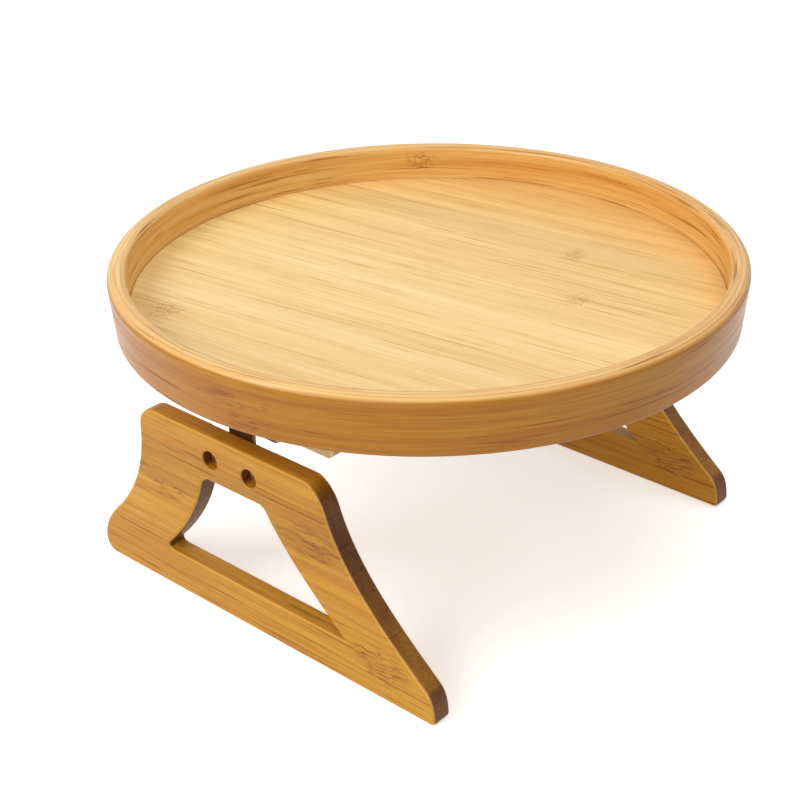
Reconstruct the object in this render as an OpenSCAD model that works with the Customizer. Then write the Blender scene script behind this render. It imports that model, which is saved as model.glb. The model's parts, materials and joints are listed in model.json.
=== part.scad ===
// Round bamboo tray that straddles a sofa arm on two folding legs.
// Origin: on the ground under the centre of the tray. X runs along the hinge pins, Z is up.
// The near leg stands at -Y and the far leg at +Y.

/* [Tray] */
// Outer diameter of the tray at the top of the rim
tray_d = 250; // [230:1:300]
// Height of the rim hoop
tray_h = 23; // [19:0.5:32]
// Thickness of the rim hoop
rim_t = 7.5; // [5:0.5:10]
// How much smaller the hoop's outer radius is at the bottom
rim_taper = 1.5; // [0:0.1:3]
// Radius of the rounding along the hoop's outer top edge
rim_round = 3; // [1:0.5:3.5]
// Thickness of the floor panel
floor_t = 8; // [6:0.5:9]

/* [Base board] */
// Width of the board along the hinge pins
board_w = 103; // [90:1:115]
// Length of the board from leg to leg, which also sets how far apart the legs stand
board_l = 200; // [192:1:210]
// Thickness of the board
board_t = 13; // [12:0.5:18]
// Shift of the board's centre along X
board_x = -11.5; // [-14:0.5:0]

/* [Legs] */
// Height of a leg
leg_h = 80; // [72:1:81]
// Thickness of a leg
leg_t = 9; // [8:0.5:12]
// Gap between the board and the top of a leg, where the hinge barrel sits
leg_gap = 14; // [13:0.5:18]
// Left end of the foot, measured along X
foot_left = -95; // [-105:1:-88]
// Right end of the foot, measured along X
foot_right = 87; // [80:1:98]
// Left end of the top bar, measured along X
bar_left = -64.5; // [-68:0.5:-60]
// Right end of the top bar, measured along X
bar_right = 36.5; // [33:0.5:40]
// Height of the top bar above the window
bar_h = 20; // [18:0.5:24]
// Height of the bottom rail below the window
rail_h = 17.5; // [14:0.5:22]
// Width of the left post beside the window's top edge
post_top_left = 34.5; // [31:0.5:37]
// Width of the right post beside the window's top edge
post_top_right = 31.7; // [29:0.1:34]
// Width of the left post at the bottom, where the window is widest
post_low_left = 39.5; // [36:0.5:46]
// Width of the right post at the bottom, where the window is widest
post_low_right = 43.4; // [40:0.2:50]
// Radius of the rounding along the leg's edges
edge_r = 1.4; // [0.6:0.1:1.8]

/* [Hinges] */
// Centre of both hinges along X
hinge_x = -13.5; // [-18:0.5:-9]
// Width of the hinge leaves
hinge_w = 34; // [30:1:40]
// Thickness of the hinge leaves, which are let in flush with the wood
leaf_t = 1.5; // [1:0.1:2]
// How far the upper leaf reaches along the underside of the board
leaf_reach = 25; // [22:1:30]
// Outer radius of the hinge barrel
barrel_r = 3; // [2.8:0.1:3.4]
// Radius of the hinge pin
pin_r = 1.6; // [1.3:0.1:1.8]
// Running clearance around the pin in the turning knuckle
pin_gap = 0.05; // [0.02:0.01:0.1]
// Width of the middle knuckle, which turns with the leg
knuckle_w = 13; // [10:0.5:14]

/* [Screws] */
// Distance between the two leg bolts
bolt_pitch = 21; // [18:0.5:23]
// Distance of the leg bolts below the leg's top edge
bolt_drop = 10.5; // [9:0.5:12]
// Radius of the counterbores in the leg's outer face
cbore_r = 3.8; // [3.5:0.1:4.2]
// Depth of the counterbores
cbore_d = 5; // [4:0.5:5]
// Radius of the bolt shanks
bolt_r = 2; // [1.5:0.1:2.2]
// Radius of the wood screws' shanks
screw_r = 1.5; // [1.2:0.1:1.8]
// Radius of the wood screws' heads
screw_head_r = 3.2; // [2.8:0.1:3.6]

/* [Hidden] */
$fn = 96;

// Heights above the ground
board_z = leg_h + leg_gap;
tray_z = board_z + board_t;
floor_z = tray_z + floor_t;
top_z = tray_z + tray_h;

// Tray radii
tray_r = tray_d / 2;
inner_r = tray_r - rim_t;
tongue = 2.5;
tongue_z = tray_z + floor_t * 0.3;
tongue_h = floor_t * 0.4;
panel_gap = 0.1;

// Hinge axis of the near leg; the far leg mirrors it
half_l = board_l / 2;
leg_in = half_l - leg_t;
axis_y = leg_in + leaf_t - barrel_r;
axis_z = leg_h + leg_gap * 3 / 7;
side_gap = 0.3;
pocket_gap = 0.2;
hinge_a = hinge_x - hinge_w / 2;
hinge_b = hinge_x + hinge_w / 2;
plate_top = leg_h - 1;
plate_low = leg_h - bar_h + 1;
leaf_end = leaf_reach - leaf_t + barrel_r - axis_y;

// Screw positions
bolt_z = leg_h - bolt_drop;
bolt_hole_r = bolt_r + 0.1;
head_h = 1.4;
nut_h = 3.6;
nut_r = bolt_r * 1.8;
cone_h = screw_head_r - screw_r;
board_screw_dx = board_w * 0.37;
board_screw_y = half_l * 0.7;
leaf_screws = [
    [-hinge_w * 0.32, leaf_reach * 0.3],
    [hinge_w * 0.32, leaf_reach * 0.3],
    [0, leaf_reach * 0.66]
];

// Points of a cubic curve, without its end point
function curve(a, b, c, d, n = 8) = [
    for (i = [0 : n - 1])
    let (t = i / n, s = 1 - t)
    s * s * s * a + 3 * s * s * t * b + 3 * s * t * t * c + t * t * t * d
];

// A rounded corner at q between the points a and b on its two sides
function corner(a, q, b, n = 6) = curve(a, a + (q - a) * 0.56, b + (q - b) * 0.56, b, n);

// The polygon p moved inwards by d, for points that run counterclockwise
function inset(p, d) = let (n = len(p)) [
    for (i = [0 : n - 1])
    let (
        a = p[i] - p[(i + n - 1) % n],
        b = p[(i + 1) % n] - p[i],
        u = [-a[1], a[0]] / norm(a),
        v = [-b[1], b[0]] / norm(b)
    )
    p[i] + d * (u + v) / (1 + u * v)
];

// Outline of a leg in X and Z, counterclockwise from the left end of the bottom edge
fl = foot_left;
fr = foot_right;
bl = bar_left;
br = bar_right;
h = leg_h;
leg_outline = concat(
    [[fl + 6, 0]],
    corner([fr - 2.5, 0], [fr, 0], [fr - 0.2, 2.5], 4),
    curve([fr - 0.2, 2.5], [fr - 0.6, 7], [fr - 1, 10.5], [fr - 4, 13.5], 6),
    curve([fr - 4, 13.5], [fr - 22, 28.5], [br + 8, h * 0.58], [br, h - 12], 14),
    corner([br, h - 12], [br - 3.4, h], [br - 12, h], 8),
    corner([bl + 9, h], [bl, h], [bl, h - 9], 8),
    curve([bl, h - 9], [bl, h * 0.65], [fl + 22, h * 0.46], [fl + 10, h * 0.306], 12),
    curve([fl + 10, h * 0.306], [fl + 4, h * 0.231], [fl, h * 0.16], [fl, 6], 7),
    corner([fl, 6], [fl, 0], [fl + 6, 0], 5)
);

// Outline of the window in the leg
wt = h - bar_h;
wa = fl + post_low_left;
wb = fr - post_low_right;
wc = bl + post_top_left;
wd = br - post_top_right;
window_outline = concat(
    corner([wa + 4.5, rail_h], [wa, rail_h], [wa + 3, rail_h + 3.4], 4),
    curve([wa + 3, rail_h + 3.4], [wa + 13, rail_h + 13.5], [wc - 4, wt * 0.72], [wc, wt - 3], 10),
    corner([wc, wt - 3], [wc + 0.9, wt], [wc + 4, wt], 4),
    corner([wd - 3.3, wt], [wd - 1.3, wt], [wd, wt - 2], 4),
    curve([wd, wt - 2], [wd + 7.2, wt * 0.77], [wb - 16.6, rail_h + 14], [wb - 0.6, rail_h + 0.8], 12),
    [[wb, rail_h]]
);
window_ccw = [for (i = [len(window_outline) - 1 : -1 : 0]) window_outline[i]];

// Rings for a plate of thickness t whose edges are rounded by r; with s = -1 they flare instead
function rings(t, r, s = 1, steps = 4) = let (
    low = [for (k = [0 : steps]) [s * r * (1 - sin(90 * k / steps)), r * (1 - cos(90 * k / steps))]]
)
concat(low, [for (k = [steps : -1 : 0]) [low[k][0], t - low[k][1]]]);

// A solid that follows the outline p through the rings, each an inset and a distance along Y
module stack(p, g) {
    n = len(p);
    m = len(g);
    polyhedron(
        [
            for (k = g)
            for (q = inset(p, k[0]))
            [q[0], k[1], q[1]]
        ],
        concat(
            [[for (i = [0 : n - 1]) n - 1 - i]],
            [
                for (k = [0 : m - 2])
                for (i = [0 : n - 1])
                [k * n + i, k * n + (i + 1) % n, (k + 1) * n + (i + 1) % n, (k + 1) * n + i]
            ],
            [[for (i = [0 : n - 1]) (m - 1) * n + i]]
        )
    );
}

// Quarter-circle points around (cx, cz) from angle a to angle b
function arc(cx, cz, r, a, b, n = 6) = [
    for (i = [0 : n])
    [cx + r * cos(a + (b - a) * i / n), cz + r * sin(a + (b - a) * i / n)]
];

// Bent hoop with rounded edges and a groove for the floor panel
module rim_hoop() {
    ro = rim_round;
    ri = 2;
    rb = 1.5;
    color([0.91, 0.73, 0.45])
    rotate_extrude($fn = 180)
    polygon(concat(
        [[inner_r + 0.8, tray_z], [tray_r - rim_taper - rb, tray_z]],
        arc(tray_r - rim_taper - rb, tray_z + rb, rb, -90, 0, 4),
        arc(tray_r - ro, top_z - ro, ro, 0, 90, 6),
        arc(inner_r + ri, top_z - ri, ri, 90, 180, 5),
        [
            [inner_r, tongue_z + tongue_h],
            [inner_r + tongue, tongue_z + tongue_h],
            [inner_r + tongue, tongue_z],
            [inner_r, tongue_z],
            [inner_r, tray_z + 0.8]
        ]
    ));
}

// Laminated floor panel with a tongue around its edge
module floor_panel() {
    r = inner_r - panel_gap;
    color([0.95, 0.84, 0.60])
    difference() {
        rotate_extrude($fn = 180)
        polygon([
            [0, tray_z],
            [r - 0.4, tray_z],
            [r, tray_z + 0.4],
            [r, tongue_z],
            [inner_r + tongue, tongue_z],
            [inner_r + tongue, tongue_z + tongue_h],
            [r, tongue_z + tongue_h],
            [r, floor_z - 0.5],
            [r - 0.5, floor_z],
            [0, floor_z]
        ]);
        for (sx = [-1, 1])
        for (sy = [-1, 1])
        translate([board_x + sx * board_screw_dx, sy * board_screw_y, tray_z - 1])
        cylinder(r = screw_r, h = floor_t * 0.6 + 1, $fn = 24);
    }
}

// Board under the tray that joins the two hinges
module base_board() {
    e = 1;
    c = 3;
    color([0.84, 0.73, 0.54])
    difference() {
        translate([board_x, 0, board_z])
        linear_extrude(board_t)
        polygon(concat(
            arc(board_w / 2 - c, half_l - c, c, 0, 90, 5),
            arc(c - board_w / 2, half_l - c, c, 90, 180, 5),
            arc(c - board_w / 2, c - half_l, c, 180, 270, 5),
            arc(board_w / 2 - c, c - half_l, c, 270, 360, 5)
        ));
        for (s = [-1, 1])
        translate([board_x, s * half_l, board_z])
        rotate([45, 0, 0])
        cube([board_w + 4, e, e], center = true);
        for (s = [-1, 1])
        translate([board_x + s * board_w / 2, 0, board_z])
        rotate([0, 45, 0])
        cube([e, board_l + 4, e], center = true);
        for (sx = [-1, 1])
        for (sy = [-1, 1])
        translate([board_x + sx * board_screw_dx, sy * board_screw_y, board_z])
        screw_hole(board_t);
        for (m = [0, 1])
        mirror([0, m, 0]) {
            translate([hinge_a - pocket_gap, -half_l - 1, board_z - 1])
            cube([hinge_w + 2 * pocket_gap, leaf_end + half_l + 1 + pocket_gap, leaf_t + 1]);
            for (p = leaf_screws)
            translate([hinge_x + p[0], p[1] - axis_y, board_z]) {
                screw_hole(leaf_t);
                cylinder(r = screw_r, h = leaf_t + 9.5, $fn = 24);
            }
        }
    }
}

// Clearance hole with a countersink that opens downwards at z = 0
module screw_hole(depth) {
    translate([0, 0, -1])
    cylinder(r = screw_r + 0.1, h = depth + 2, $fn = 32);
    translate([0, 0, -0.01])
    cylinder(r1 = screw_head_r + 0.15, r2 = screw_r + 0.1, h = cone_h + 0.05, $fn = 32);
}

// Countersunk wood screw that points up, its head flush with z = 0
module wood_screw(l) {
    color([0.74, 0.72, 0.68])
    difference() {
        union() {
            cylinder(r1 = screw_head_r, r2 = screw_r, h = cone_h, $fn = 32);
            cylinder(r = screw_r, h = l - 2, $fn = 24);
            translate([0, 0, l - 2])
            cylinder(r1 = screw_r, r2 = 0.3, h = 2, $fn = 24);
        }
        for (a = [0, 90])
        rotate([0, 0, a + 20])
        translate([-1.7, -0.35, -0.1])
        cube([3.4, 0.7, 1.1]);
    }
}

module board_screw(sx, sy) {
    translate([board_x + sx * board_screw_dx, sy * board_screw_y, board_z])
    wood_screw(board_t + floor_t * 0.5);
}

// Leg plate with its window, without the bolt holes
module leg_blank() {
    translate([0, -half_l, 0])
    difference() {
        stack(leg_outline, rings(leg_t, edge_r));
        stack(window_ccw, concat([[-edge_r, -1]], rings(leg_t, edge_r, -1), [[-edge_r, leg_t + 1]]));
    }
}

// Leg with its two counterbored bolt holes and the pocket for its hinge leaf
module leg() {
    color([0.80, 0.60, 0.33])
    difference() {
        leg_blank();
        translate([hinge_a - pocket_gap, -leg_in - leaf_t, plate_low - pocket_gap])
        cube([hinge_w + 2 * pocket_gap, leaf_t + 1, leg_h - plate_low + 2]);
        for (s = [-1, 1])
        translate([hinge_x + s * bolt_pitch / 2, -half_l, bolt_z])
        rotate([-90, 0, 0]) {
            translate([0, 0, -1])
            cylinder(r = bolt_hole_r, h = leg_t + 2, $fn = 32);
            translate([0, 0, -1])
            cylinder(r = cbore_r, h = cbore_d + 1, $fn = 48);
        }
    }
}

// Barrel along X from a to b, centred on the near hinge axis
module barrel(a, b, r) {
    translate([a, -axis_y, axis_z])
    rotate([0, 90, 0])
    cylinder(r = r, h = b - a, $fn = 48);
}

// Upper leaf, let into the board, with the two outer knuckles that hold the pin
module board_leaf() {
    ka = hinge_x - knuckle_w / 2 - side_gap;
    kb = hinge_x + knuckle_w / 2 + side_gap;
    yb = barrel_r - axis_y;
    color([0.72, 0.72, 0.74])
    difference() {
        union() {
            translate([hinge_a, yb - leaf_t, board_z])
            cube([hinge_w, leaf_end - yb + leaf_t, leaf_t]);
            translate([hinge_a, yb - leaf_t, axis_z])
            cube([hinge_w, leaf_t, board_z + leaf_t - axis_z]);
            barrel(hinge_a, ka, barrel_r);
            barrel(kb, hinge_b, barrel_r);
        }
        translate([ka, -axis_y - barrel_r - 1, axis_z - barrel_r - 1])
        cube([kb - ka, 2 * barrel_r + 2, 2 * barrel_r + 1.4]);
        barrel(hinge_a - 1, hinge_b + 1, pin_r);
        for (p = leaf_screws)
        translate([hinge_x + p[0], p[1] - axis_y, board_z])
        screw_hole(leaf_t);
        for (s = [-1, 1])
        translate([hinge_x + s * hinge_w / 2, leaf_end, board_z])
        rotate([0, 0, 45])
        cube([4, 4, 4 * leaf_t], center = true);
    }
}

// Lower leaf, let into the leg's inner face, with the middle knuckle that turns on the pin
module leg_leaf() {
    ka = hinge_x - knuckle_w / 2;
    color([0.72, 0.72, 0.74])
    difference() {
        union() {
            translate([hinge_a, -leg_in - leaf_t, plate_low])
            cube([hinge_w, leaf_t, plate_top - plate_low]);
            translate([ka, -leg_in - leaf_t, plate_top - 1])
            cube([knuckle_w, leaf_t, axis_z - plate_top + 1]);
            barrel(ka, ka + knuckle_w, barrel_r);
        }
        barrel(ka - 1, ka + knuckle_w + 1, pin_r + pin_gap);
        for (s = [-1, 1])
        translate([hinge_x + s * bolt_pitch / 2, -leg_in - leaf_t - 1, bolt_z])
        rotate([-90, 0, 0])
        cylinder(r = bolt_hole_r, h = leaf_t + 2, $fn = 32);
        for (s = [-1, 1])
        translate([hinge_x + s * hinge_w / 2, -leg_in, plate_low])
        rotate([0, 45, 0])
        cube([4, 4 * leaf_t, 4], center = true);
    }
}

// Pin with a low head at each end
module pin() {
    color([0.62, 0.62, 0.64])
    union() {
        barrel(hinge_a, hinge_b, pin_r);
        barrel(hinge_a - pin_r * 0.56, hinge_a, barrel_r * 0.8);
        barrel(hinge_b, hinge_b + pin_r * 0.56, barrel_r * 0.8);
    }
}

module leaf_screw(i) {
    p = leaf_screws[i];
    translate([hinge_x + p[0], p[1] - axis_y, board_z])
    wood_screw(leaf_t + 9);
}

// Bolt whose low head sits deep in the counterbore
module bolt(s) {
    l = leg_t - cbore_d + nut_h - 1;
    color([0.45, 0.36, 0.25])
    translate([hinge_x + s * bolt_pitch / 2, -half_l + cbore_d, bolt_z])
    rotate([-90, 0, 0])
    difference() {
        union() {
            translate([0, 0, -head_h])
            cylinder(r1 = cbore_r - 0.9, r2 = cbore_r - 0.5, h = 0.5, $fn = 40);
            translate([0, 0, 0.5 - head_h])
            cylinder(r = cbore_r - 0.5, h = head_h - 0.5, $fn = 40);
            cylinder(r = bolt_r, h = l, $fn = 32);
        }
        for (a = [0, 90])
        rotate([0, 0, a + 35])
        translate([-1.8, -0.4, -head_h - 0.1])
        cube([3.6, 0.8, 1.1]);
    }
}

// Cap nut on the leaf's inner side
module nut(s) {
    color([0.70, 0.69, 0.66])
    translate([hinge_x + s * bolt_pitch / 2, -leg_in, bolt_z])
    rotate([-90, 0, 0])
    difference() {
        union() {
            cylinder(r = nut_r, h = nut_h - 1.4, $fn = 6);
            translate([0, 0, nut_h - 1.4])
            cylinder(r1 = nut_r * 0.84, r2 = nut_r * 0.5, h = 1.4, $fn = 32);
        }
        translate([0, 0, -1])
        cylinder(r = bolt_r, h = nut_h, $fn = 32);
    }
}

module far() {
    mirror([0, 1, 0])
    children();
}

rim_hoop();
floor_panel();
base_board();
board_screw(-1, -1);  // board_screw_1
board_screw(1, -1);  // board_screw_2
board_screw(-1, 1);  // board_screw_3
board_screw(1, 1);  // board_screw_4
leg();  // near_leg
board_leaf();  // near_board_leaf
leg_leaf();  // near_leg_leaf
pin();  // near_pin
leaf_screw(0);  // near_leaf_screw_1
leaf_screw(1);  // near_leaf_screw_2
leaf_screw(2);  // near_leaf_screw_3
bolt(-1);  // near_bolt_1
bolt(1);  // near_bolt_2
nut(-1);  // near_nut_1
nut(1);  // near_nut_2
far() leg();  // far_leg
far() board_leaf();  // far_board_leaf
far() leg_leaf();  // far_leg_leaf
far() pin();  // far_pin
far() leaf_screw(0);  // far_leaf_screw_1
far() leaf_screw(1);  // far_leaf_screw_2
far() leaf_screw(2);  // far_leaf_screw_3
far() bolt(-1);  // far_bolt_1
far() bolt(1);  // far_bolt_2
far() nut(-1);  // far_nut_1
far() nut(1);  // far_nut_2
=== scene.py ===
import json
import math

import bmesh
import bpy
from mathutils import Matrix, Vector


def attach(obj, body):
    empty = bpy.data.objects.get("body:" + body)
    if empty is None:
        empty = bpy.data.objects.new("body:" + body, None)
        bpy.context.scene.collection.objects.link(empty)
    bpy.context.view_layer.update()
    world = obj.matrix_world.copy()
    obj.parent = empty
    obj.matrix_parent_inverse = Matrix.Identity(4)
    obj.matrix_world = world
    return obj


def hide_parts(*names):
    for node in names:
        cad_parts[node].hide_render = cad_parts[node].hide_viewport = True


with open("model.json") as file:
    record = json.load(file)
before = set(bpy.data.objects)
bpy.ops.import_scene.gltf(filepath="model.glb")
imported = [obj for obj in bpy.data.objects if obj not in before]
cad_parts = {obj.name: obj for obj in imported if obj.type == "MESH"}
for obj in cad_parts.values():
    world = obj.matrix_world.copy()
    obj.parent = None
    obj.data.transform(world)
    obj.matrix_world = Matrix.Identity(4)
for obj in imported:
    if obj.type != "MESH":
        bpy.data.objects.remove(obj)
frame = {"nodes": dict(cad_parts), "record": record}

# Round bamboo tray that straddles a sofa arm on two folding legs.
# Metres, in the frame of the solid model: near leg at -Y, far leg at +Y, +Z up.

scene = bpy.context.scene
cadNodes = frame["nodes"]
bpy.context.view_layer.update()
print("frame loaded with", len(cadNodes), "parts")

mm = 0.001


# node helpers

def fromSrgb(red, green, blue):
    # screen colour, 0 to 255, as the linear colour a socket takes
    def linear(value):
        value /= 255
        return value / 12.92 if value <= 0.04045 else ((value + 0.055) / 1.055) ** 2.4
    return (linear(red), linear(green), linear(blue), 1)


def addNode(tree, kind, **settings):
    node = tree.nodes.new("ShaderNode" + kind)
    for key, value in settings.items():
        setattr(node, key, value)
    return node


def feed(tree, socket, value):
    if isinstance(value, bpy.types.NodeSocket):
        tree.links.new(value, socket)
    else:
        socket.default_value = value


def calc(tree, operation, *values, clamp=False):
    node = addNode(tree, "Math", operation=operation, use_clamp=clamp)
    for socket, value in zip(node.inputs, values):
        feed(tree, socket, value)
    return node.outputs[0]


def scaleVector(tree, vector, factor):
    node = addNode(tree, "VectorMath", operation="SCALE")
    feed(tree, node.inputs[0], vector)
    feed(tree, node.inputs["Scale"], factor)
    return node.outputs[0]


def joinXyz(tree, x, y, z):
    node = addNode(tree, "CombineXYZ")
    for socket, value in zip(node.inputs, (x, y, z)):
        feed(tree, socket, value)
    return node.outputs[0]


def smoothStep(tree, value, low, high):
    node = addNode(tree, "MapRange", interpolation_type="SMOOTHSTEP")
    feed(tree, node.inputs["Value"], value)
    feed(tree, node.inputs["From Min"], low)
    feed(tree, node.inputs["From Max"], high)
    return node.outputs["Result"]


def mixColour(tree, factor, first, second, mode="MIX"):
    node = addNode(tree, "Mix", data_type="RGBA", blend_type=mode)
    feed(tree, node.inputs[0], factor)
    feed(tree, node.inputs[6], first)
    feed(tree, node.inputs[7], second)
    return node.outputs[2]


def noise(tree, vector, w=0.0, scale=1.0, detail=2.0, roughness=0.5, distortion=0.0):
    node = addNode(tree, "TexNoise", noise_dimensions="4D")
    feed(tree, node.inputs["Vector"], vector)
    feed(tree, node.inputs["W"], w)
    node.inputs["Scale"].default_value = scale
    node.inputs["Detail"].default_value = detail
    node.inputs["Roughness"].default_value = roughness
    node.inputs["Distortion"].default_value = distortion
    return node.outputs[0]


def newGroup(name, inputs, outputs):
    group = bpy.data.node_groups.new(name, "ShaderNodeTree")
    for label, kind, value in inputs:
        socket = group.interface.new_socket(name=label, in_out="INPUT", socket_type="NodeSocket" + kind)
        if value is not None:
            socket.default_value = value
    for label in outputs:
        group.interface.new_socket(name=label, in_out="OUTPUT", socket_type="NodeSocketFloat")
    given = group.nodes.new("NodeGroupInput").outputs
    result = group.nodes.new("NodeGroupOutput").inputs
    return group, given, result


def placeGroup(tree, group, values):
    node = addNode(tree, "Group", node_tree=group)
    for label, value in values.items():
        feed(tree, node.inputs[label], value)
    return node.outputs


# shared effects

def makeFibreGroup():
    # Vector: one unit is a fibre's width across the grain and its length along it
    group, given, result = newGroup(
        "Bamboo fibres",
        [("Vector", "Vector", None), ("W", "Float", 0.0)],
        ["Streak", "Broad", "Line", "Height"],
    )
    vector, w = given["Vector"], given["W"]
    streak = noise(group, vector, w, 1.0, 3.0, 0.62)
    slowW = calc(group, "MULTIPLY", w, 0.2)
    broad = noise(group, vector, slowW, 0.2, 1.0, 0.5)
    lineNoise = noise(group, vector, calc(group, "ADD", w, 31.0), 1.35, 1.0, 0.5)
    line = calc(group, "SUBTRACT", 1.0, smoothStep(group, lineNoise, 0.29, 0.40))
    feed(group, result["Streak"], smoothStep(group, streak, 0.30, 0.70))
    feed(group, result["Broad"], smoothStep(group, broad, 0.30, 0.70))
    feed(group, result["Line"], line)
    height = calc(group, "SUBTRACT", streak, calc(group, "MULTIPLY", line, 0.6))
    feed(group, result["Height"], height)
    return group


def makeStripGroup():
    # strips glued side by side: a tone for each, and the dark seam between two
    group, given, result = newGroup(
        "Glued strips",
        [("Across", "Float", 0.0), ("Width", "Float", 0.02), ("Shift", "Float", 0.0), ("Seam", "Float", 0.0002)],
        ["Tone", "Seam", "Index"],
    )
    place = calc(group, "DIVIDE", calc(group, "ADD", given["Across"], given["Shift"]), given["Width"])
    index = calc(group, "FLOOR", place)
    random = addNode(group, "TexWhiteNoise", noise_dimensions="1D")
    feed(group, random.inputs["W"], calc(group, "ADD", index, 0.37))
    inside = calc(group, "SUBTRACT", place, index)
    side = calc(group, "MINIMUM", inside, calc(group, "SUBTRACT", 1.0, inside))
    distance = calc(group, "MULTIPLY", side, given["Width"])
    feed(group, result["Tone"], calc(group, "SUBTRACT", random.outputs["Value"], 0.5))
    feed(group, result["Seam"], calc(group, "SUBTRACT", 1.0, smoothStep(group, distance, 0.0, given["Seam"])))
    feed(group, result["Index"], index)
    return group


def makeKnotGroup():
    # the scar where a bamboo cane has its joint: a ragged patch of wavy marks
    group, given, result = newGroup(
        "Cane joint",
        [
            ("Along", "Float", 0.0), ("Across", "Float", 0.0),
            ("Centre Along", "Float", 0.0), ("Centre Across", "Float", 0.0),
            ("Half Length", "Float", 0.01), ("Half Width", "Float", 0.01),
            ("Stretch", "Float", 0.4),
        ],
        ["Mask", "Marks"],
    )
    dAlong = calc(group, "DIVIDE", calc(group, "SUBTRACT", given["Along"], given["Centre Along"]), given["Half Length"])
    dAcross = calc(group, "DIVIDE", calc(group, "SUBTRACT", given["Across"], given["Centre Across"]), given["Half Width"])
    flat = joinXyz(group, dAlong, dAcross, 0.0)
    length = addNode(group, "VectorMath", operation="LENGTH")
    feed(group, length.inputs[0], flat)
    ragged = calc(group, "SUBTRACT", noise(group, flat, 3.0, 2.2, 2.0), 0.5)
    distance = calc(group, "ADD", length.outputs["Value"], ragged)
    mask = calc(group, "SUBTRACT", 1.0, smoothStep(group, distance, 0.4, 1.0))
    spot = joinXyz(
        group,
        calc(group, "MULTIPLY", calc(group, "MULTIPLY", given["Along"], 900.0), given["Stretch"]),
        calc(group, "MULTIPLY", given["Across"], 900.0),
        0.0,
    )
    wavy = noise(group, spot, calc(group, "MULTIPLY", given["Centre Along"], 70.0), 0.55, 2.0, 0.55, 1.6)
    ridge = calc(group, "ABSOLUTE", calc(group, "SUBTRACT", wavy, 0.5))
    marks = calc(group, "SUBTRACT", 1.0, smoothStep(group, ridge, 0.0, 0.075))
    feed(group, result["Mask"], mask)
    feed(group, result["Marks"], calc(group, "MULTIPLY", marks, mask))
    return group


def makeMetalGroup():
    # fine brushing and dull spots of handled steel
    group, given, result = newGroup(
        "Handled metal",
        [("Vector", "Vector", None), ("Brushing", "Float", 0.5)],
        ["Tint", "Roughness", "Height"],
    )
    fine = noise(group, scaleVector(group, given["Vector"], 5200.0), 0.0, 1.0, 2.0, 0.6)
    spots = noise(group, scaleVector(group, given["Vector"], 320.0), 4.0, 1.0, 3.0, 0.6)
    feed(group, result["Tint"], smoothStep(group, spots, 0.35, 0.7))
    rough = calc(group, "ADD", calc(group, "MULTIPLY", fine, 0.12), calc(group, "MULTIPLY", spots, 0.3))
    feed(group, result["Roughness"], calc(group, "ADD", rough, 0.12))
    feed(group, result["Height"], calc(group, "MULTIPLY", fine, given["Brushing"]))
    return group


fibres = makeFibreGroup()
strips = makeStripGroup()
caneJoint = makeKnotGroup()
handledMetal = makeMetalGroup()
print("shared shader groups made")


# bamboo

def objectSpace(tree):
    node = addNode(tree, "TexCoord")
    place = addNode(tree, "SeparateXYZ")
    tree.links.new(node.outputs["Object"], place.inputs[0])
    facing = addNode(tree, "SeparateXYZ")
    tree.links.new(node.outputs["Normal"], facing.inputs[0])
    return place.outputs, facing.outputs


def newMaterial(name):
    material = bpy.data.materials.new(name)
    material.use_nodes = True
    tree = material.node_tree
    shader = tree.nodes["Principled BSDF"]
    return material, tree, shader


def cutAlongX(tree, place, look):
    # grain along a line turned by look["turn"] degrees from X in the plane that look["plane"] names
    first, second, third = look["plane"]
    turn = math.radians(look.get("turn", 0.0))
    a, b = place[first], place[second]
    along = calc(tree, "ADD", calc(tree, "MULTIPLY", a, math.cos(turn)), calc(tree, "MULTIPLY", b, math.sin(turn)))
    across = calc(tree, "SUBTRACT", calc(tree, "MULTIPLY", b, math.cos(turn)), calc(tree, "MULTIPLY", a, math.sin(turn)))
    return along, across, place[third]


def knotsOf(tree, look, along, across):
    mask, marks = None, None
    for knot in look["knots"]:
        given = placeGroup(tree, caneJoint, {
            "Along": along, "Across": across,
            "Centre Along": knot[0], "Centre Across": knot[1],
            "Half Length": knot[2], "Half Width": knot[3], "Stretch": knot[4],
        })
        mask = given["Mask"] if mask is None else calc(tree, "MAXIMUM", mask, given["Mask"])
        marks = given["Marks"] if marks is None else calc(tree, "MAXIMUM", marks, given["Marks"])
    return mask, marks


def waver(tree, look, along, across, mask):
    # fibres bend round a cane joint
    bend = noise(tree, joinXyz(tree, calc(tree, "MULTIPLY", along, 160.0), calc(tree, "MULTIPLY", across, 160.0), 0.0), 7.0, 1.0, 1.0)
    amount = calc(tree, "MULTIPLY", calc(tree, "MULTIPLY", mask, calc(tree, "SUBTRACT", bend, 0.5)), look["bend"])
    return calc(tree, "ADD", across, amount)


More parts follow.
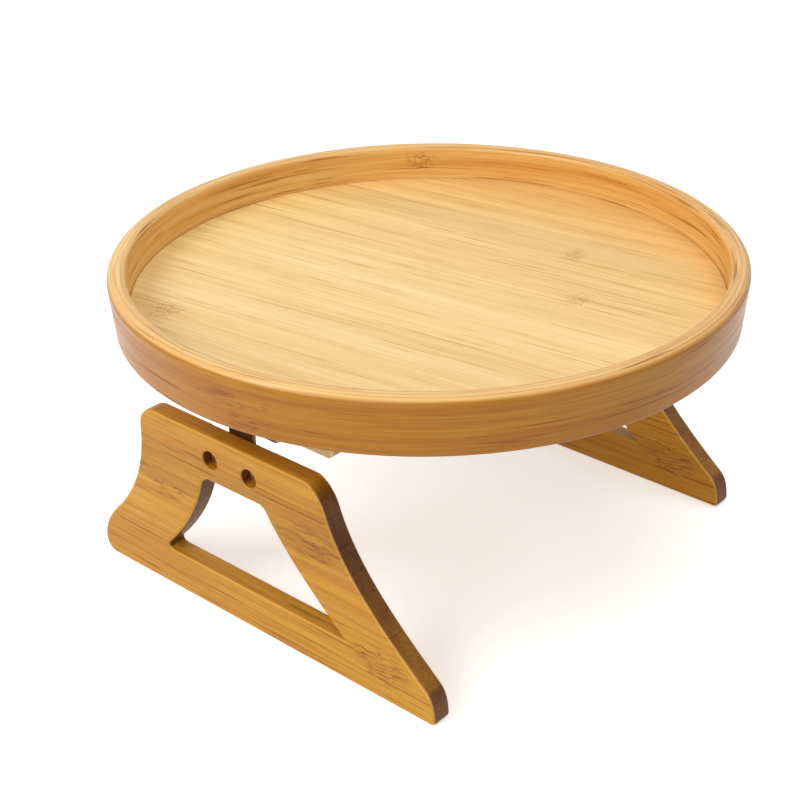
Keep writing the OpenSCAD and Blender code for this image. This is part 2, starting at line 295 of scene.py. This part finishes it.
def paintGrain(tree, shader, look, base, fibre, seam, tone, knotMarks, edge):
    # browner streaks, thin dark lines, strip tones, seams, cane joints and lighter rounded edges (edge wear with a
    # painted highlight) over a base colour
    streakAmount = calc(tree, "MULTIPLY", calc(tree, "SUBTRACT", 1.0, fibre["Streak"]), look["streak"])
    colour = mixColour(tree, streakAmount, base, look["streakTint"], "MULTIPLY")
    broadAmount = calc(tree, "MULTIPLY", calc(tree, "SUBTRACT", 1.0, fibre["Broad"]), look["broad"])
    colour = mixColour(tree, broadAmount, colour, look["streakTint"], "MULTIPLY")
    lineAmount = calc(tree, "MULTIPLY", fibre["Line"], look["line"])
    colour = mixColour(tree, lineAmount, colour, look["lineTint"], "MULTIPLY")
    level = calc(tree, "ADD", 1.0, calc(tree, "MULTIPLY", tone, look["tone"]))
    colour = scaleVector(tree, colour, level)
    colour = mixColour(tree, calc(tree, "MULTIPLY", seam, look["seam"]), colour, look["lineTint"], "MULTIPLY")
    colour = mixColour(tree, calc(tree, "MULTIPLY", knotMarks, look["knot"]), colour, look["knotTint"], "MULTIPLY")
    # lighter rounded edges: edge wear with a painted highlight along them
    colour = mixColour(tree, calc(tree, "MULTIPLY", edge, look["edge"]), colour, look["edgeWearAndHighlightColour"])
    feed(tree, shader.inputs["Base Color"], colour)

    rough = calc(tree, "ADD", look["roughness"], calc(tree, "MULTIPLY", fibre["Line"], 0.14))
    rough = calc(tree, "ADD", rough, calc(tree, "MULTIPLY", fibre["Streak"], -0.06))
    feed(tree, shader.inputs["Roughness"], rough)

    height = calc(tree, "SUBTRACT", fibre["Height"], calc(tree, "MULTIPLY", knotMarks, 0.5))
    height = calc(tree, "SUBTRACT", height, calc(tree, "MULTIPLY", seam, 0.7))
    bump = addNode(tree, "Bump")
    bump.inputs["Strength"].default_value = look["bump"]
    bump.inputs["Distance"].default_value = 0.00018
    feed(tree, bump.inputs["Height"], height)
    feed(tree, shader.inputs["Normal"], bump.outputs[0])
    shader.inputs["Specular IOR Level"].default_value = 0.22
    shader.inputs["Coat Weight"].default_value = look["coat"] * 0.5
    shader.inputs["Coat Roughness"].default_value = 0.28


def edgeWearAndHighlightBand(tree, facing, axis):
    # the rounding between a flat face and a side: strongest where the normal is halfway; it takes the lighter edge
    # colour, edge wear with a painted highlight
    slope = calc(tree, "ABSOLUTE", facing[axis])
    low = smoothStep(tree, slope, 0.25, 0.6)
    high = calc(tree, "SUBTRACT", 1.0, smoothStep(tree, slope, 0.80, 0.985))
    return calc(tree, "MULTIPLY", low, high)


def makeBoardBamboo(name, look):
    material, tree, shader = newMaterial(name)
    place, facing = objectSpace(tree)
    along, across, depth = cutAlongX(tree, place, look)
    knotMask, knotMarks = knotsOf(tree, look, along, across)
    bent = waver(tree, look, along, across, knotMask)
    strip = placeGroup(tree, strips, {
        "Across": across, "Width": look["stripWidth"], "Shift": look["stripShift"], "Seam": look["seamWidth"],
    })
    vector = joinXyz(
        tree,
        calc(tree, "MULTIPLY", along, look["alongScale"]),
        calc(tree, "MULTIPLY", bent, look["acrossScale"]),
        calc(tree, "MULTIPLY", depth, look["acrossScale"]),
    )
    fibre = placeGroup(tree, fibres, {"Vector": vector, "W": calc(tree, "MULTIPLY", strip["Index"], 7.31)})
    endGrain = smoothStep(tree, calc(tree, "ABSOLUTE", facing[look["plane"][0]]), look["endFrom"], look["endTo"])
    base = mixColour(tree, endGrain, look["colour"], look["endColour"])
    # painted reflected light and shade: the colour turns darker and more orange towards one end of an axis
    if "paintedBounceColour" in look:
        shade = smoothStep(tree, place[look["paintedBounceAxis"]], look["paintedBounceFrom"], look["paintedBounceTo"])
        base = mixColour(tree, shade, base, look["paintedBounceColour"])
    # mask for the lighter rounded edges, edge wear with a painted highlight
    edge = edgeWearAndHighlightBand(tree, facing, look["plane"][2])
    paintGrain(tree, shader, look, base, fibre, strip["Seam"], strip["Tone"], knotMarks, edge)
    return material


floorLook = {
    "plane": ("X", "Y", "Z"), "turn": 7.0,
    "colour": fromSrgb(240, 212, 150), "endColour": fromSrgb(214, 170, 98),
    # painted reflected light and shade: the floor turns darker and more orange towards +Y, as if lit by the inner wall
    "paintedBounceColour": fromSrgb(236, 190, 118), "paintedBounceAxis": "Y", "paintedBounceFrom": -0.02, "paintedBounceTo": 0.13,
    "endFrom": 0.4, "endTo": 0.9,
    "streak": 0.35, "broad": 0.4, "streakTint": fromSrgb(226, 208, 170),
    "line": 0.5, "lineTint": fromSrgb(196, 158, 96),
    "tone": 0.10, "stripWidth": 0.0195, "stripShift": 0.006, "seam": 0.30, "seamWidth": 0.00022,
    "knots": [
        (0.036, 0.055, 0.006, 0.008, 0.6), (0.058, 0.0178, 0.006, 0.009, 0.6), (-0.0719, -0.075, 0.008, 0.009, 0.6),
    ],
    "knot": 0.6, "knotTint": fromSrgb(196, 156, 90), "bend": 0.004,
    "edge": 0.0, "edgeWearAndHighlightColour": fromSrgb(240, 212, 150),
    "alongScale": 17.0, "acrossScale": 820.0,
    "roughness": 0.42, "bump": 0.35, "coat": 0.15,
}

legLook = {
    "plane": ("X", "Z", "Y"), "turn": 0.0,
    "colour": fromSrgb(199, 147, 42), "endColour": fromSrgb(106, 66, 20),
    "endFrom": 0.35, "endTo": 0.85,
    "streak": 0.55, "broad": 0.5, "streakTint": fromSrgb(218, 180, 116),
    "line": 0.6, "lineTint": fromSrgb(176, 124, 54),
    "tone": 0.22, "stripWidth": 0.0195, "stripShift": 0.0102, "seam": 0.5, "seamWidth": 0.0003,
    "knots": [
        (0.030, 0.054, 0.019, 0.010, 0.07), (0.062, 0.0155, 0.017, 0.011, 0.09), (-0.05, 0.047, 0.012, 0.006, 0.08),
    ],
    "knot": 0.62, "knotTint": fromSrgb(172, 118, 44), "bend": 0.009,
    # lighter rounded edges: edge wear with a painted highlight
    "edge": 0.4, "edgeWearAndHighlightColour": fromSrgb(236, 184, 92),
    "alongScale": 20.0, "acrossScale": 760.0,
    "roughness": 0.40, "bump": 0.45, "coat": 0.15,
}

boardLook = {
    "plane": ("Y", "X", "Z"), "turn": 0.0,
    "colour": fromSrgb(224, 200, 150), "endColour": fromSrgb(206, 180, 132),
    "endFrom": 0.4, "endTo": 0.9,
    "streak": 0.4, "broad": 0.35, "streakTint": fromSrgb(214, 190, 150),
    "line": 0.5, "lineTint": fromSrgb(180, 140, 90),
    "tone": 0.12, "stripWidth": 0.0206, "stripShift": 0.063, "seam": 0.4, "seamWidth": 0.00025,
    "knots": [(0.035, 0.018, 0.008, 0.009, 0.5), (-0.048, -0.045, 0.008, 0.009, 0.5)],
    "knot": 0.5, "knotTint": fromSrgb(190, 148, 90), "bend": 0.004,
    "edge": 0.0, "edgeWearAndHighlightColour": fromSrgb(224, 200, 150),
    "alongScale": 17.0, "acrossScale": 800.0,
    "roughness": 0.48, "bump": 0.4, "coat": 0.05,
}

rimLook = {
    # the top colour is the layer edges' own colour with a painted highlight
    "topAndHighlightColour": fromSrgb(238, 200, 134), "innerColour": fromSrgb(242, 200, 122), "outerColour": fromSrgb(180, 126, 34),
    "streak": 0.6, "broad": 0.45, "streakTint": fromSrgb(220, 180, 110),
    "line": 0.65, "lineTint": fromSrgb(176, 122, 52),
    "tone": 0.10, "layer": 0.0019, "layerShift": 0.0004, "seam": 0.6, "seamWidth": 0.0002,
    "knots": [
        (0.2790, 0.1235, 0.009, 0.006, 0.7), (-0.1713, 0.1195, 0.017, 0.005, 0.10), (-0.1681, 0.1125, 0.014, 0.004, 0.10),
    ],
    "knot": 0.6, "knotTint": fromSrgb(176, 120, 44), "bend": 0.004,
    "edge": 0.0, "edgeWearAndHighlightColour": fromSrgb(245, 208, 150),
    "hoopScale": 2.3, "acrossScale": 780.0, "hoopRadius": 0.121,
    "roughness": 0.38, "bump": 0.4, "coat": 0.2,
}


def makeHoopBamboo(name, look):
    material, tree, shader = newMaterial(name)
    place, facing = objectSpace(tree)
    x, y, z = place["X"], place["Y"], place["Z"]
    flat = calc(tree, "ADD", calc(tree, "MULTIPLY", x, x), calc(tree, "MULTIPLY", y, y))
    radius = calc(tree, "SQRT", flat)
    along = calc(tree, "MULTIPLY", calc(tree, "ARCTAN2", y, x), look["hoopRadius"])
    knotMask, knotMarks = knotsOf(tree, look, along, z)
    bent = waver(tree, look, along, z, knotMask)
    turnScale = calc(tree, "DIVIDE", look["hoopScale"], radius)
    vector = joinXyz(
        tree,
        calc(tree, "MULTIPLY", x, turnScale),
        calc(tree, "MULTIPLY", y, turnScale),
        calc(tree, "MULTIPLY", bent, look["acrossScale"]),
    )
    layer = placeGroup(tree, strips, {
        "Across": radius, "Width": look["layer"], "Shift": look["layerShift"], "Seam": look["seamWidth"],
    })
    fibre = placeGroup(tree, fibres, {"Vector": vector, "W": calc(tree, "MULTIPLY", radius, look["acrossScale"])})
    wall = mixColour(tree, smoothStep(tree, radius, 0.1193, 0.1220), look["innerColour"], look["outerColour"])
    # upward-facing surfaces get the lighter top colour: the top's own colour with a painted highlight
    top = smoothStep(tree, facing["Z"], 0.30, 0.85)
    base = mixColour(tree, top, wall, look["topAndHighlightColour"])
    onTop = smoothStep(tree, calc(tree, "ABSOLUTE", facing["Z"]), 0.25, 0.5)
    seam = calc(tree, "MULTIPLY", layer["Seam"], onTop)
    tone = calc(tree, "MULTIPLY", layer["Tone"], onTop)
    paintGrain(tree, shader, look, base, fibre, seam, tone, knotMarks, 0.0)
    return material


floorBamboo = makeBoardBamboo("Floor bamboo", floorLook)
legBamboo = makeBoardBamboo("Leg bamboo", legLook)
boardBamboo = makeBoardBamboo("Base board bamboo", boardLook)
hoopBamboo = makeHoopBamboo("Hoop bamboo", rimLook)


# metal

def makeMetal(name, look):
    material, tree, shader = newMaterial(name)
    coords = addNode(tree, "TexCoord")
    given = placeGroup(tree, handledMetal, {"Vector": coords.outputs["Object"], "Brushing": look["brushing"]})
    feed(tree, shader.inputs["Base Color"], mixColour(tree, given["Tint"], look["colour"], look["dullColour"]))
    feed(tree, shader.inputs["Roughness"], given["Roughness"])
    bump = addNode(tree, "Bump")
    bump.inputs["Strength"].default_value = 0.2
    bump.inputs["Distance"].default_value = 0.00005
    feed(tree, bump.inputs["Height"], given["Height"])
    feed(tree, shader.inputs["Normal"], bump.outputs[0])
    shader.inputs["Metallic"].default_value = 1.0
    return material


metalLooks = {
    "hinge_steel": {"name": "Hinge steel", "colour": fromSrgb(112, 86, 58), "dullColour": fromSrgb(84, 62, 42), "brushing": 0.6},
    "pin_steel": {"name": "Pin steel", "colour": fromSrgb(190, 190, 193), "dullColour": fromSrgb(150, 150, 154), "brushing": 0.4},
    "screw_steel": {"name": "Screw steel", "colour": fromSrgb(212, 209, 203), "dullColour": fromSrgb(172, 168, 160), "brushing": 0.4},
    "bolt_bronze": {"name": "Bolt bronze", "colour": fromSrgb(232, 186, 128), "dullColour": fromSrgb(196, 146, 92), "brushing": 0.4},
}
metals = {slotName: makeMetal(look["name"], look) for slotName, look in metalLooks.items()}

slotOfNode = {part["node"]: part["material_slot"] for part in frame["record"]["subparts"]}
for nodeName, node in cadNodes.items():
    finish = metals.get(slotOfNode[nodeName], boardBamboo)
    for holder in node.material_slots:
        holder.material = finish
print("materials made")


# mesh helpers

def finishMesh(name, mesh, material, body, replaced, sharpAngle=32.0):
    piece = bpy.data.objects.new(name, mesh)
    scene.collection.objects.link(piece)
    mesh.materials.clear()
    mesh.materials.append(material)
    for polygon in mesh.polygons:
        polygon.use_smooth = True
        polygon.material_index = 0
    mesh.set_sharp_from_angle(angle=math.radians(sharpAngle))
    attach(piece, body)
    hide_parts(replaced)
    return piece


def arcPoints(centreX, centreY, radius, start, end, count):
    step = (end - start) / count
    return [
        (centreX + radius * math.cos(math.radians(start + step * i)), centreY + radius * math.sin(math.radians(start + step * i)))
        for i in range(count + 1)
    ]


def betweenPoints(first, second, count):
    # points strictly between two profile points
    return [
        (first[0] + (second[0] - first[0]) * i / count, first[1] + (second[1] - first[1]) * i / count)
        for i in range(1, count)
    ]


def revolve(profile, segments, closed, shift=None):
    # profile in millimetres as radius and height; shift moves a point by a function of angle, radius and height
    mesh = bmesh.new()
    rings = []
    for radius, height in profile:
        if radius < 1e-6:
            rings.append([mesh.verts.new((0, 0, height * mm))])
            continue
        ring = []
        for i in range(segments):
            angle = 2 * math.pi * i / segments
            r, h = shift(angle, radius, height) if shift else (radius, height)
            ring.append(mesh.verts.new((r * mm * math.cos(angle), r * mm * math.sin(angle), h * mm)))
        rings.append(ring)
    pairs = list(zip(rings, rings[1:]))
    if closed:
        pairs.append((rings[-1], rings[0]))
    for low, high in pairs:
        for i in range(segments):
            j = (i + 1) % segments
            corners = [low[i % len(low)], low[j % len(low)], high[j % len(high)], high[i % len(high)]]
            unique = []
            for corner in corners:
                if corner not in unique:
                    unique.append(corner)
            mesh.faces.new(unique)
    bmesh.ops.recalc_face_normals(mesh, faces=mesh.faces)
    made = bpy.data.meshes.new("revolved")
    mesh.to_mesh(made)
    mesh.free()
    return made


# rim hoop

hoopShape = {
    "outer": 125.0, "inner": 117.5, "bottom": 107.0, "top": 130.0,
    "taper": 1.5, "outerRound": 3.0, "innerRound": 2.0, "lowRound": 1.5, "segments": 360,
}


def makeHoop():
    s = hoopShape
    low = s["outer"] - s["taper"] - s["lowRound"]
    lowArc = arcPoints(low, s["bottom"] + s["lowRound"], s["lowRound"], -90, 0, 6)
    topArc = arcPoints(s["outer"] - s["outerRound"], s["top"] - s["outerRound"], s["outerRound"], 0, 90, 12)
    innerArc = arcPoints(s["inner"] + s["innerRound"], s["top"] - s["innerRound"], s["innerRound"], 90, 180, 8)
    foot = [(s["inner"], s["bottom"] + 0.8), (s["inner"] + 0.8, s["bottom"])]
    profile = foot[1:] + lowArc + betweenPoints(lowArc[-1], topArc[0], 18) + topArc + innerArc
    profile += betweenPoints(innerArc[-1], foot[0], 14) + foot[:1]

    def handMade(angle, radius, height):
        # a steam-bent hoop is never quite true, and its sanded wall is a little wavy
        out = max(0.0, min(1.0, (radius - 119.5) / 3.0))
        wave = 0.06 * math.sin(3 * angle + 0.6) + 0.04 * math.sin(7 * angle + 2.0) - 0.1
        return radius + out * wave, height

    mesh = revolve(profile, s["segments"], True, handMade)
    return finishMesh("rim", mesh, hoopBamboo, "tray", "rim_hoop")


makeHoop()
print("rim made")


# floor panel

floorShape = {"radius": 117.4, "bottom": 107.0, "top": 115.0, "round": 0.6, "segments": 180}


def makeFloor():
    s = floorShape
    edge = arcPoints(s["radius"] - s["round"], s["top"] - s["round"], s["round"], 90, 0, 4)
    rings = [0.0, 20.0, 40.0, 60.0, 80.0, 95.0, 108.0]
    profile = [(r, s["top"]) for r in rings] + edge
    profile += [(s["radius"], s["bottom"] + 0.5), (s["radius"] - 0.5, s["bottom"])]
    profile += [(r, s["bottom"]) for r in reversed(rings)]
    mesh = revolve(profile, s["segments"], False)
    return finishMesh("floor", mesh, floorBamboo, "tray", "floor_panel")


makeFloor()
print("floor made")


# legs

legShape = {
    "height": 80.0, "thickness": 9.0, "outerY": 100.0, "edge": 1.4,
    "footLeft": -95.0, "footRight": 87.0, "barLeft": -64.5, "barRight": 36.5,
    "barHeight": 20.0, "railHeight": 17.5,
    "postTopLeft": 34.5, "postTopRight": 31.7, "postLowLeft": 39.5, "postLowRight": 43.4,
    "hingeX": -13.5, "hingeWidth": 34.0, "leaf": 1.5, "pocketGap": 0.2,
    "boltPitch": 21.0, "boltDrop": 10.5, "boltHole": 2.1,
    "boreRadius": 3.8, "boreDepth": 5.0, "boreChamfer": 0.45,
}


def curvePoints(a, b, c, d, count):
    # a cubic curve without its end point
    points = []
    for i in range(count):
        t = i / count
        u = 1 - t
        weights = (u * u * u, 3 * u * u * t, 3 * u * t * t, t * t * t)
        points.append(tuple(sum(w * p[k] for w, p in zip(weights, (a, b, c, d))) for k in (0, 1)))
    return points


def roundCorner(a, q, b, count):
    def pull(p):
        return (p[0] + (q[0] - p[0]) * 0.56, p[1] + (q[1] - p[1]) * 0.56)
    return curvePoints(a, pull(a), pull(b), b, count)


def legOutline():
    s = legShape
    fl, fr, bl, br, h = s["footLeft"], s["footRight"], s["barLeft"], s["barRight"], s["height"]
    points = [(fl + 6, 0)]
    points += roundCorner((fr - 2.5, 0), (fr, 0), (fr - 0.2, 2.5), 6)
    points += curvePoints((fr - 0.2, 2.5), (fr - 0.6, 7), (fr - 1, 10.5), (fr - 4, 13.5), 9)
    points += curvePoints((fr - 4, 13.5), (fr - 22, 28.5), (br + 8, h * 0.58), (br, h - 12), 28)
    points += roundCorner((br, h - 12), (br - 3.4, h), (br - 12, h), 12)
    points += roundCorner((bl + 9, h), (bl, h), (bl, h - 9), 12)
    points += curvePoints((bl, h - 9), (bl, h * 0.65), (fl + 22, h * 0.46), (fl + 10, h * 0.306), 24)
    points += curvePoints((fl + 10, h * 0.306), (fl + 4, h * 0.231), (fl, h * 0.16), (fl, 6), 10)
    points += roundCorner((fl, 6), (fl, 0), (fl + 6, 0), 8)
    return points[:-1] if points[-1] == points[0] else points


def windowOutline():
    s = legShape
    low, top = s["railHeight"], s["height"] - s["barHeight"]
    a, b = s["footLeft"] + s["postLowLeft"], s["footRight"] - s["postLowRight"]
    c, d = s["barLeft"] + s["postTopLeft"], s["barRight"] - s["postTopRight"]
    points = roundCorner((a + 4.5, low), (a, low), (a + 3, low + 3.4), 6)
    points += curvePoints((a + 3, low + 3.4), (a + 13, low + 13.5), (c - 4, top * 0.72), (c, top - 3), 18)
    points += roundCorner((c, top - 3), (c + 0.9, top), (c + 4, top), 6)
    points += roundCorner((d - 3.3, top), (d - 1.3, top), (d, top - 2), 6)
    points += curvePoints((d, top - 2), (d + 7.2, top * 0.77), (b - 16.6, low + 14), (b - 0.6, low + 0.8), 20)
    points += [(b, low)]
    return points[::-1]


def insetPoints(points, distance):
    # moves a counterclockwise outline inwards
    moved = []
    for i, point in enumerate(points):
        before = Vector(point) - Vector(points[i - 1])
        after = Vector(points[(i + 1) % len(points)]) - Vector(point)
        u = Vector((-before.y, before.x)).normalized()
        v = Vector((-after.y, after.x)).normalized()
        moved.append(Vector(point) + distance * (u + v) / (1 + u.dot(v)))
    return moved


def stackRings(points, rings, outerY):
    # a closed solid that follows an outline in X and Z through rings of inset and depth
    mesh = bmesh.new()
    loops = []
    for distance, depth in rings:
        loops.append([mesh.verts.new((p.x * mm, (depth - outerY) * mm, p.y * mm)) for p in insetPoints(points, distance)])
    mesh.faces.new(loops[0][::-1])
    mesh.faces.new(loops[-1])
    for low, high in zip(loops, loops[1:]):
        for i in range(len(low)):
            j = (i + 1) % len(low)
            mesh.faces.new((low[i], low[j], high[j], high[i]))
    bmesh.ops.recalc_face_normals(mesh, faces=mesh.faces)
    return bmeshObject("stack", mesh)


def bmeshObject(name, mesh):
    data = bpy.data.meshes.new(name)
    mesh.to_mesh(data)
    mesh.free()
    made = bpy.data.objects.new(name, data)
    scene.collection.objects.link(made)
    return made


def roundedRings(thickness, radius, side, steps=7):
    low = []
    for k in range(steps + 1):
        angle = math.radians(90 * k / steps)
        low.append((side * radius * (1 - math.sin(angle)), radius * (1 - math.cos(angle))))
    return low + [(distance, thickness - depth) for distance, depth in reversed(low)]


def lathedCutter(x, z, profile):
    # a cutter along +Y; the profile is radius and Y in millimetres
    mesh = bmesh.new()
    segments = 48
    loops = []
    for radius, y in profile:
        loops.append([
            mesh.verts.new((
                (x + radius * math.cos(2 * math.pi * i / segments)) * mm,
                y * mm,
                (z + radius * math.sin(2 * math.pi * i / segments)) * mm,
            ))
            for i in range(segments)
        ])
    mesh.faces.new(loops[0])
    mesh.faces.new(loops[-1][::-1])
    for low, high in zip(loops, loops[1:]):
        for i in range(segments):
            j = (i + 1) % segments
            mesh.faces.new((low[i], high[i], high[j], low[j]))
    bmesh.ops.recalc_face_normals(mesh, faces=mesh.faces)
    return bmeshObject("cutter", mesh)


def boxCutter(low, high):
    mesh = bmesh.new()
    bmesh.ops.create_cube(mesh, size=1.0)
    size = [b - a for a, b in zip(low, high)]
    middle = [(a + b) / 2 for a, b in zip(low, high)]
    bmesh.ops.scale(mesh, vec=[v * mm for v in size], verts=mesh.verts)
    bmesh.ops.translate(mesh, vec=[v * mm for v in middle], verts=mesh.verts)
    return bmeshObject("cutter", mesh)


def carve(body, cutters):
    for cutter in cutters:
        cut = body.modifiers.new("cut", "BOOLEAN")
        cut.operation = "DIFFERENCE"
        cut.solver = "EXACT"
        cut.object = cutter
    bpy.context.view_layer.update()
    done = bpy.data.meshes.new_from_object(body.evaluated_get(bpy.context.evaluated_depsgraph_get()))
    for extra in [body] + cutters:
        bpy.data.objects.remove(extra)
    return done


def makeLeg(name, side, body, replaced):
    # side -1 is the near leg; the far leg is its mirror image in Y
    s = legShape
    y0 = s["outerY"]
    inner = y0 - s["thickness"]
    body0 = stackRings(legOutline(), roundedRings(s["thickness"], s["edge"], 1), y0)
    flare = [(-s["edge"], -1)] + roundedRings(s["thickness"], s["edge"], -1) + [(-s["edge"], s["thickness"] + 1)]
    cutters = [stackRings(windowOutline(), flare, y0)]
    plateLow = s["height"] - s["barHeight"] + 1
    half = s["hingeWidth"] / 2 + s["pocketGap"]
    cutters.append(boxCutter(
        (s["hingeX"] - half, -inner - s["leaf"], plateLow - s["pocketGap"]),
        (s["hingeX"] + half, -inner + 1, s["height"] + 2),
    ))
    for end in (-1, 1):
        x = s["hingeX"] + end * s["boltPitch"] / 2
        z = s["height"] - s["boltDrop"]
        cutters.append(lathedCutter(x, z, [
            (s["boreRadius"] + s["boreChamfer"] + 0.5, -y0 - 0.5),
            (s["boreRadius"] + s["boreChamfer"], -y0),
            (s["boreRadius"] + 0.1, -y0 + s["boreChamfer"]),
            (s["boreRadius"], -y0 + s["boreChamfer"] + 0.3),
            (s["boreRadius"], -y0 + s["boreDepth"]),
        ]))
        cutters.append(lathedCutter(x, z, [(s["boltHole"], -y0 + s["boreDepth"] - 0.5), (s["boltHole"], -inner + 1)]))
    mesh = carve(body0, cutters)
    if side > 0:
        mesh.transform(Matrix.Scale(-1, 4, Vector((0, 1, 0))))
        mesh.flip_normals()
    piece = finishMesh(name, mesh, legBamboo, body, replaced)
    weighted = piece.modifiers.new("flat faces", "WEIGHTED_NORMAL")
    weighted.keep_sharp = True
    return piece


makeLeg("leg_near", -1, "near_leg", "near_leg")
makeLeg("leg_far", 1, "far_leg", "far_leg")
print("legs made")


# floor, light and camera

stageLook = {"size": 12.0, "colour": (0.86, 0.86, 0.85, 1), "lift": 0.52}


def makeStage():
    mesh = bmesh.new()
    bmesh.ops.create_grid(mesh, x_segments=2, y_segments=2, size=stageLook["size"] / 2)
    ground = bmeshObject("ground", mesh)
    material, tree, shader = newMaterial("Pale ground")
    shader.inputs["Base Color"].default_value = stageLook["colour"]
    shader.inputs["Roughness"].default_value = 0.9
    shader.inputs["Specular IOR Level"].default_value = 0.1
    path = addNode(tree, "LightPath")
    seen = calc(tree, "MAXIMUM", path.outputs["Is Camera Ray"], path.outputs["Is Glossy Ray"])
    glow = addNode(tree, "Emission")
    feed(tree, glow.inputs["Strength"], calc(tree, "MULTIPLY", seen, stageLook["lift"]))
    both = addNode(tree, "AddShader")
    tree.links.new(shader.outputs[0], both.inputs[0])
    tree.links.new(glow.outputs[0], both.inputs[1])
    # nothing of the ground shows from underneath, so the part's underside can be looked at
    side = addNode(tree, "NewGeometry")
    clear = addNode(tree, "BsdfTransparent")
    shown = addNode(tree, "MixShader")
    tree.links.new(side.outputs["Backfacing"], shown.inputs[0])
    tree.links.new(both.outputs[0], shown.inputs[1])
    tree.links.new(clear.outputs[0], shown.inputs[2])
    tree.links.new(shown.outputs[0], tree.nodes["Material Output"].inputs["Surface"])
    ground.data.materials.append(material)

    world = bpy.data.worlds.new("Studio")
    scene.world = world
    world.use_nodes = True
    tree = world.node_tree
    path = addNode(tree, "LightPath")
    seen = calc(tree, "MAXIMUM", path.outputs["Is Camera Ray"], path.outputs["Is Glossy Ray"])
    seen = calc(tree, "MAXIMUM", seen, path.outputs["Is Transmission Ray"])
    background = tree.nodes["Background"]
    background.inputs["Color"].default_value = (1, 1, 0.99, 1)
    strength = calc(tree, "ADD", studioLight["world"], calc(tree, "MULTIPLY", seen, 1.0 - studioLight["world"]))
    feed(tree, background.inputs["Strength"], strength)


studioLight = {
    "world": 0.48,
    "lamps": [
        {"name": "key", "at": (-0.50, -1.30, 1.30), "size": 1.0, "power": 15.5},
        {"name": "top", "at": (0.15, 0.25, 1.7), "size": 1.2, "power": 10.0},
        {"name": "low fill", "at": (0.55, -1.2, 0.3), "size": 0.7, "power": 3.0},
    ],
}


def makeLamps():
    for lamp in studioLight["lamps"]:
        data = bpy.data.lights.new(lamp["name"], "AREA")
        data.shape = "DISK"
        data.size = lamp["size"]
        data.energy = lamp["power"]
        holder = bpy.data.objects.new(lamp["name"], data)
        scene.collection.objects.link(holder)
        holder.location = lamp["at"]
        aim = Vector((0, 0, 0.08)) - Vector(lamp["at"])
        holder.rotation_euler = aim.to_track_quat("-Z", "Y").to_euler()


cameraView = {
    "at": (0.37788, -0.44056, 0.37729), "heading": 41.80, "down": 28.49, "roll": 1.14,
    "lens": 72.0, "sensor": 36.0,
}


def makeCamera():
    data = bpy.data.cameras.new("camera")
    data.lens = cameraView["lens"]
    data.sensor_width = cameraView["sensor"]
    data.clip_start = 0.02
    data.clip_end = 60.0
    camera = bpy.data.objects.new("camera", data)
    scene.collection.objects.link(camera)
    turn = Matrix.Rotation(math.radians(cameraView["heading"]), 4, "Z")
    tilt = Matrix.Rotation(math.radians(90 - cameraView["down"]), 4, "X")
    lean = Matrix.Rotation(math.radians(-cameraView["roll"]), 4, "Z")
    camera.matrix_world = Matrix.Translation(cameraView["at"]) @ turn @ tilt @ lean
    scene.camera = camera


makeStage()
makeLamps()
makeCamera()
scene.view_settings.view_transform = "Standard"
print("stage, lamps and camera made")
